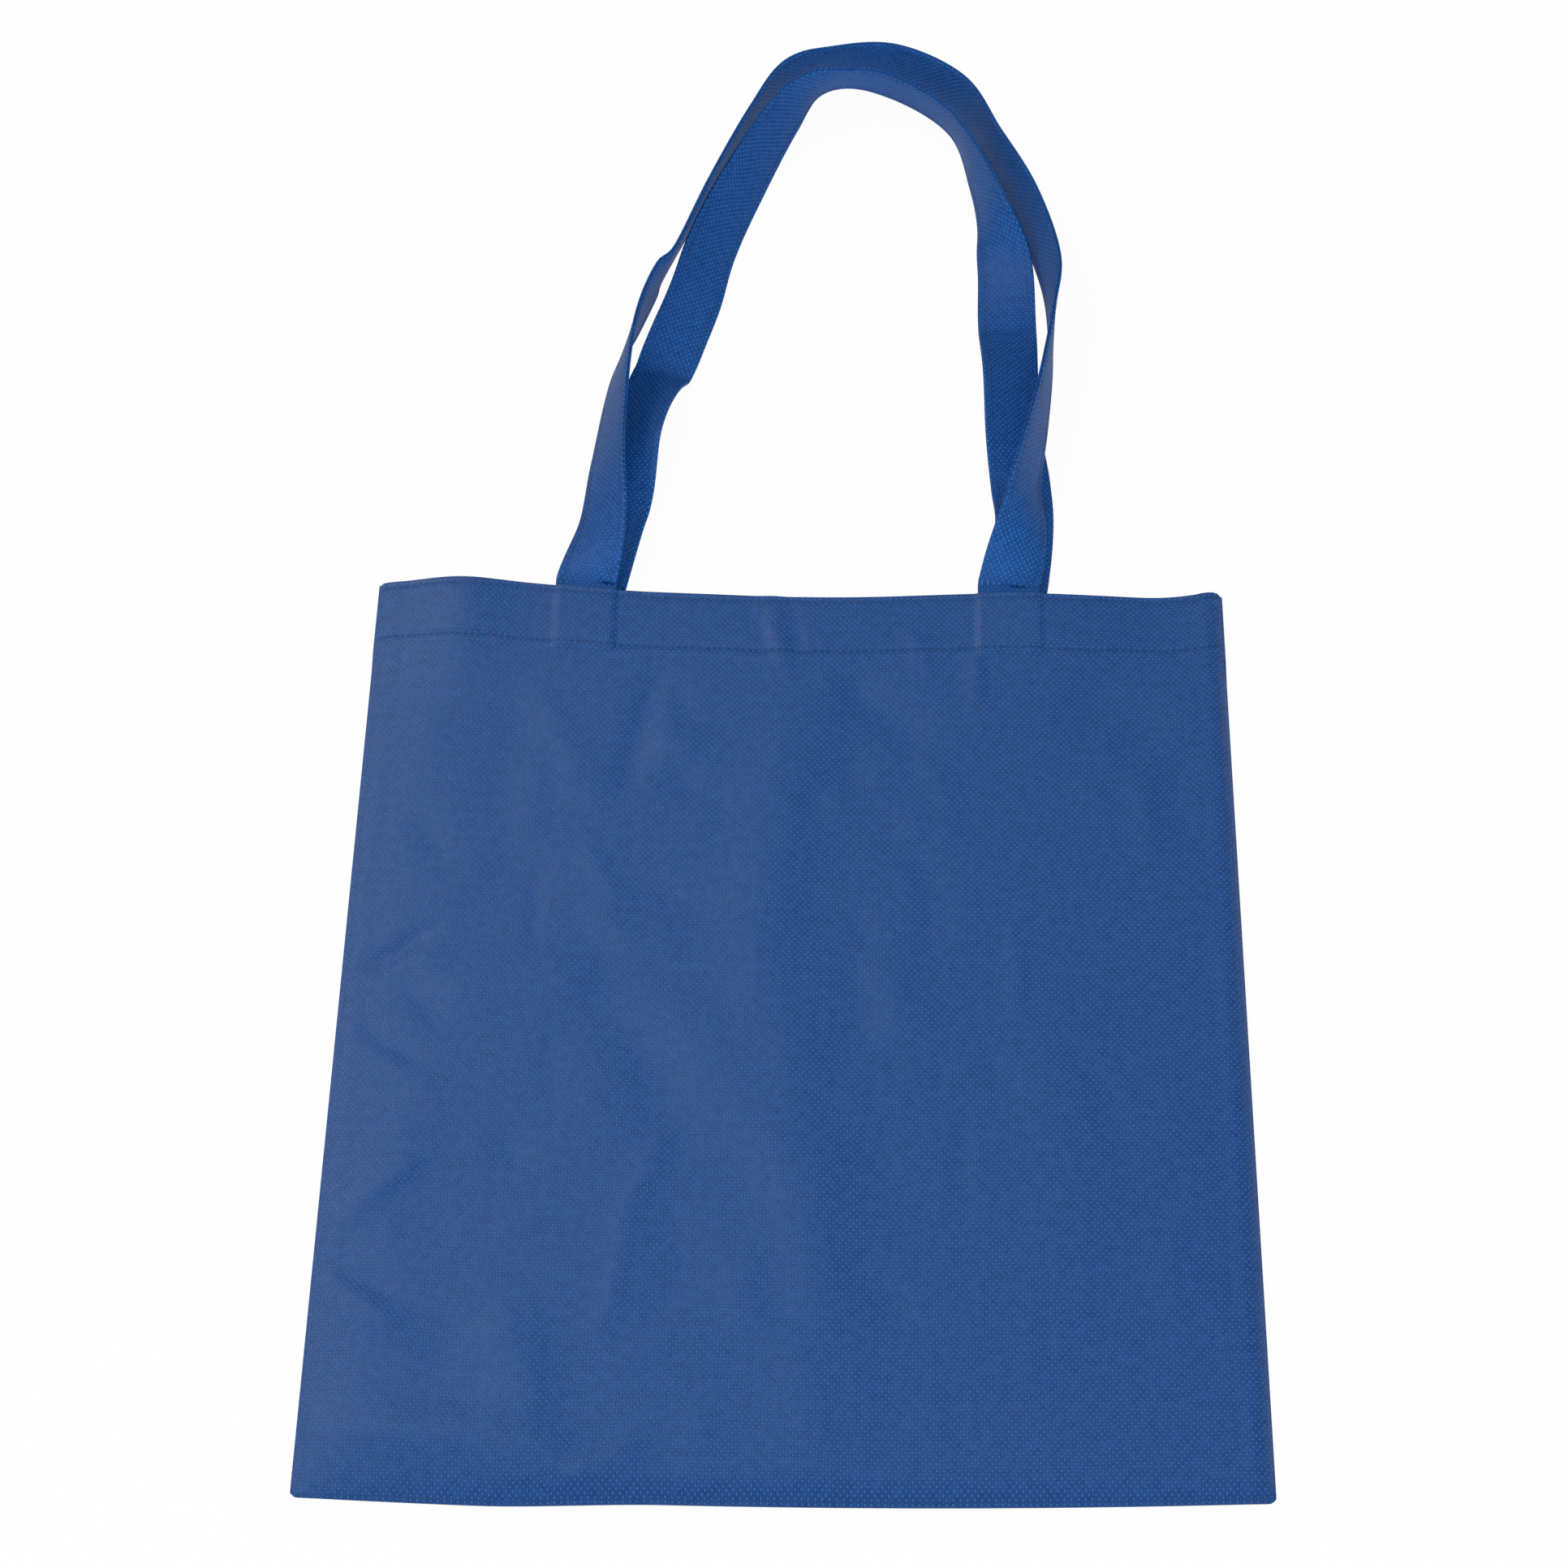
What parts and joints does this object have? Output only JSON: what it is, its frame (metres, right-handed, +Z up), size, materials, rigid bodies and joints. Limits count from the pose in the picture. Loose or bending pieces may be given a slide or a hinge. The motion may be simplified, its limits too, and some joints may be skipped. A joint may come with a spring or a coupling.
{
  "type": "non-woven carrier bag",
  "caption": "Flat carrier bag of embossed blue non-woven plastic cloth with long sewn shoulder handles, lying flat with its front panel up",
  "frame": {"origin": "on the table, under the middle of the back panel of the lying bag", "axes": "X runs across the bag, Y from the bottom fold to the mouth and on to the handles, Z up from the table through the front panel"},
  "size_m": [0.38, 0.7396, 0.0295],
  "materials": {
    "bag_cloth": "matt blue spun-bond polypropylene, embossed all over with small round points",
    "handle_cloth": "the same cloth, folded to four layers and sewn along both edges"
  },
  "bodies": {
    "root": {"bag_body": "bag_cloth", "front_handle": "handle_cloth", "rear_handle": "handle_cloth"}
  },
  "joints": []
}
